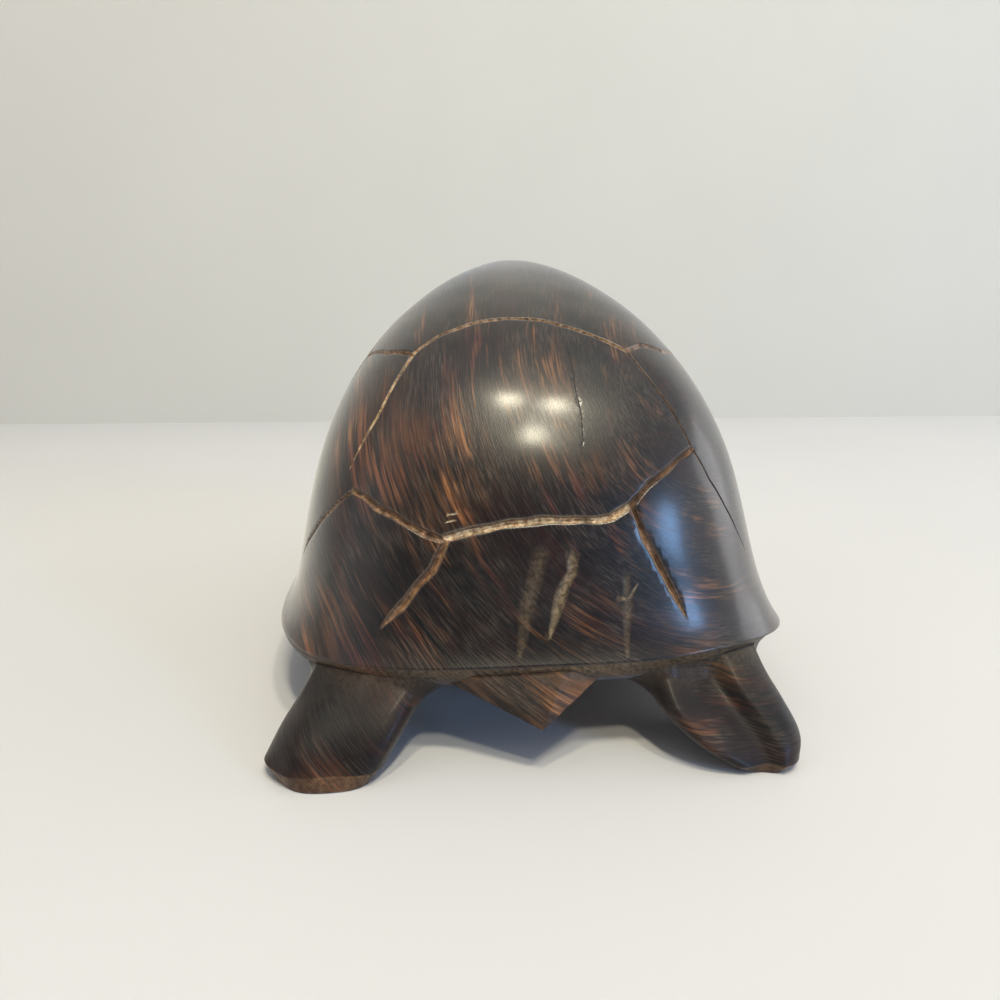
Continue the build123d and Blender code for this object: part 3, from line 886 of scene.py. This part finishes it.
def carve_leg(node, levels, patches):
    """A leg through its levels. Each column of points climbs from the sole to the bowl, and
    over its last stretch it bends outwards along a quarter circle into the bowl."""
    heights = np.array([height for height, _ in levels]) * MM
    loops = np.array([smooth_loop(outline, column_count) for _, outline in levels]) * MM
    slopes = np.gradient(loops[1:], heights[1:], axis=0)
    columns = np.arange(column_count)

    def leg_place(height):
        """The leg's own outline, each column at its own height: straight over the bevel, and
        above it the cubic that has the levels' mean slopes."""
        level = np.clip(np.searchsorted(heights, height, side="right") - 1, 1, len(levels) - 2)
        step = (heights[level + 1] - heights[level])[:, None]
        share = np.clip((height - heights[level]) / step[:, 0], 0, 1)[:, None]
        start, end = loops[level, columns], loops[level + 1, columns]
        leave, arrive = slopes[level - 1, columns] * step, slopes[level, columns] * step
        smooth = start + share * (leave + share * (3 * (end - start) - 2 * leave - arrive + share * (
            2 * (start - end) + leave + arrive)))
        bevel = loops[0] + (loops[1] - loops[0]) * np.clip(height / heights[1], 0, 1)[:, None]
        return np.where(height[:, None] < heights[1], bevel, smooth)

    def reach_under(gap):
        """The height at which each column comes within a gap of the bowl."""
        height = np.full(column_count, heights[-1] * 0.8)
        for _ in range(14):
            flat = leg_place(height)
            wanted = np.clip(underside(flat[:, 0], flat[:, 1], True) - gap, 3 * MM, heights[-1])
            height = 0.5 * height + 0.5 * wanted
        return height

    def facing_out(flat):
        """The outward direction of a ring at each of its columns."""
        tangent = np.roll(flat, -1, axis=0) - np.roll(flat, 1, axis=0)
        outward = np.column_stack([tangent[:, 1], -tangent[:, 0]])
        outward *= np.sign((outward * (flat - flat.mean(0))).sum())
        return outward / np.linalg.norm(outward, axis=1, keepdims=True)

    fillet_start = reach_under(root_fillet)
    climbs = np.linspace(0, 1, 36)[1:]
    ring_heights = [np.full(column_count, heights[1] * share) for share in (0.08, 0.4, 0.75, 1.0)]
    ring_heights += [heights[1] + (fillet_start - heights[1]) * climb for climb in climbs]
    rings = [np.column_stack([leg_place(height), height]) for height in ring_heights]
    start_nearness = np.maximum(rim_nearness(rings[-1][:, :2]), rim_inset_share)
    top = leg_place(reach_under(0))
    reaches = np.linspace(0, root_fillet, 40)
    room = sum(rim_nearness(top + facing_out(top) * reach) < rim_inset_share for reach in reaches)
    room = sum(np.roll(room, turn) for turn in range(-5, 6)) / 11 / len(reaches)
    for bend in np.linspace(0, 1, 24)[1:]:
        gap = root_fillet * (1 - bend)
        flat = leg_place(reach_under(gap))
        flat = flat + facing_out(flat) * (room * root_fillet * (1 - (1 - bend**2) ** 0.5))[:, None]
        limit = start_nearness + (rim_inset_share - start_nearness) * bend
        flat *= np.minimum(1, limit / rim_nearness(flat))[:, None]
        overlap = (0.25 + 0.4 * (1 - room)) * MM * bend
        rings.append(np.column_stack([flat, underside(flat[:, 0], flat[:, 1], True) - gap + overlap]))
    rings = np.array(rings)
    middle = rings[0].mean(0) * [1, 1, 0]
    sole = [middle + (rings[0] - middle) * [size, size, 0] for size in (0.6, 0.97)]
    rings = np.concatenate([np.array(sole), rings])
    rings[:, :, :2] += knife_waver * hand_waver(rings, 9 * MM, len(node))[..., None]
    inner = rings[-1].mean(0)
    tucked = inner + (rings[-1] - inner) * 0.9 + [0, 0, 0.4 * MM]
    rings = np.concatenate([rings, tucked[None]]) + shell_middle
    outline = loops[0]
    turn = np.roll(outline, -1, axis=0)
    if (outline[:, 0] * turn[:, 1] - outline[:, 1] * turn[:, 0]).sum() < 0:
        rings = rings[:, ::-1]
    points, faces = closed_rings(rings)
    on_bevel = (points[:, 2] < heights[1] + 0.01 * MM) * (points[:, 2] > 0.02 * MM)
    leg = carved_piece(
        node + "_wood", points, faces, body_wood, node,
        {
            "cut": 0.35 * on_bevel, "paleness": 0.45 * on_bevel,
            # The scuff mark here is dust plus a painted satin sheen below the rim
            "scuff": rim_dust_and_sheen(points, 0.20), "warmth": warm_patches(points, patches, -0.46),
        },
        radians(22),
    )


rear_left_warm = [(34, 67.5, 1.2, 5, 0.8), (41, 56, 6, 4, 0.4), (22, 59, 10, 3, 0.6)]
rear_right_warm = [(-22, 68, 4, 4, 0.2), (-27, 61, 12, 3, 0.5), (-35, 66, 3, 3, 0.2)]
carve_leg("rear_left_leg", rear_left_levels, rear_left_warm)
carve_leg("rear_right_leg", rear_right_levels, rear_right_warm)
carve_leg("front_left_leg", front_levels(rear_left_levels, 1), [(36, -62, 2, 5, 0.5)])
carve_leg("front_right_leg", front_levels(rear_left_levels, -1), [(-36, -62, 2, 5, 0.5)])


# The tail: a faceted wedge of the same wood, left under the rear rim and cut with a few flat
# knife strokes that meet in a point, so that its facets show paler end grain.
tail_tip = np.array([2.2, 66.3, 7.4])
tail_creases = np.array([
    [18.5, 58.6, 13.6], [11.4, 61.9, 13.9], [-1.4, 62.4, 14.4], [-9.6, 59.2, 14.2], [4.0, 50.0, 9.4],
])
crease_steps = 16
walk = np.linspace(0, len(tail_creases), len(tail_creases) * crease_steps, endpoint=False)
walk_index = walk.astype(int)
walk_share = (walk - walk_index)[:, None]
next_creases = np.roll(tail_creases, -1, axis=0)
root_loop = tail_creases[walk_index] * (1 - walk_share) + next_creases[walk_index] * walk_share
taper = (0.012 + 0.988 * np.linspace(1, 0, 50))[:, None, None]
wedge = tail_tip + (root_loop - tail_tip) * taper
embedded = root_loop + [0, -7.0, 0.6]
tail_rings = np.concatenate([embedded[None], wedge]) * MM
tail_rings += 0.06 * MM * hand_waver(tail_rings, 6 * MM, 21)[..., None]
tail_points, tail_faces = closed_rings(tail_rings + shell_middle)
tail_warm = [(1.5, 65.5, 8.6, 2.4, 0.9), (-6, 61.5, 12, 4, 1.0), (14, 61, 12, 5, 0.3)]
tail = carved_piece(
    "tail_wood", tail_points, tail_faces, body_wood, "tail",
    {
        "cut": np.full(len(tail_points), 0.06), "paleness": np.full(len(tail_points), 0.35),
        # The scuff mark here is dust plus a painted satin sheen below the rim
        "scuff": rim_dust_and_sheen(tail_points, 0.15), "warmth": warm_patches(tail_points, tail_warm),
    },
    radians(18),
)


# The head: a blunt raised head on a short neck, of the same wood, that leaves the shell under
# its front rim. The mouth is one long knife cut, and each eye a drilled ring round a raised bead.
head_columns = 200

# Each station in mm: its place along the turtle, its middle's height, half width and half height
head_stations = [
    (-44.0, 19.0, 9.5, 7.6), (-56.0, 19.2, 9.7, 7.8), (-62.0, 20.4, 10.0, 8.4),
    (-68.0, 22.6, 11.4, 9.6), (-74.0, 24.2, 12.4, 10.2), (-79.5, 24.8, 11.9, 9.6),
    (-83.6, 24.4, 9.6, 7.8), (-86.2, 24.0, 6.2, 5.4), (-87.3, 23.8, 2.4, 2.2),
]
head_around = np.linspace(0, 2 * pi, head_columns, endpoint=False)
head_runs = smooth_run(head_stations, np.linspace(0, len(head_stations) - 1, 240))
head_reach = corner_reach(head_around, 2.25)
head_x = head_runs[:, 2:3] * head_reach * np.cos(head_around)
head_z = head_runs[:, 1:2] + head_runs[:, 3:4] * head_reach * np.sin(head_around)
head_y = np.broadcast_to(head_runs[:, 0:1], head_x.shape)
head_rings = np.stack([head_x, head_y, head_z], -1)
head_flat = head_rings.reshape(-1, 3)
axis_heights = np.repeat(head_runs[:, 1], head_columns)
from_axis = head_flat - np.stack([np.zeros(len(head_flat)), head_flat[:, 1], axis_heights], -1)
from_axis /= np.linalg.norm(from_axis, axis=1, keepdims=True)

# The eyes and the mouth, in mm too: the mouth's cut rises from the front to its corner
eye_places = np.array([[10.6, -79.0, 27.6], [-10.6, -79.0, 27.6]])
eye_ring_radius = 1.9
eye_ring_width = 0.42
eye_bead_radius = 1.2
mouth_front = [-87, 21.2]
mouth_curve = 0.0175
mouth_corner = -76.5
mouth_half_height = 0.5
eye_gap = np.linalg.norm(head_flat[:, None] - eye_places[None], axis=2).min(1)
eye_ring = np.exp(-(((eye_gap - eye_ring_radius) / eye_ring_width) ** 2))
eye_bead = np.exp(-((eye_gap / eye_bead_radius) ** 2))
mouth_height = mouth_front[1] + mouth_curve * (head_flat[:, 1] - mouth_front[0]) ** 2
mouth_gap = np.abs(head_flat[:, 2] - mouth_height)
mouth_span = 1 / (1 + np.exp((head_flat[:, 1] - mouth_corner) / 0.5))
mouth = np.clip(1 - mouth_gap / mouth_half_height, 0, 1) * mouth_span
press = 0.75 * mouth + 0.6 * eye_ring - 0.15 * eye_bead
head_flat = head_flat - from_axis * press[:, None]
head_rings = head_flat.reshape(head_rings.shape) * MM + shell_middle
head_points, head_faces = closed_rings(head_rings)
head_marks = np.append(np.clip(mouth * 1.4 + eye_ring * 0.9, 0, 1), [0, 0])
head = carved_piece(
    "head_wood", head_points, head_faces, body_wood, "head",
    {
        "cut": head_marks, "paleness": head_marks * 0.6,
        "warmth": warm_patches(head_points, [(5, -84, 20, 7, 0.45), (-8, -60, 15, 8, 0.4)]),
    },
)
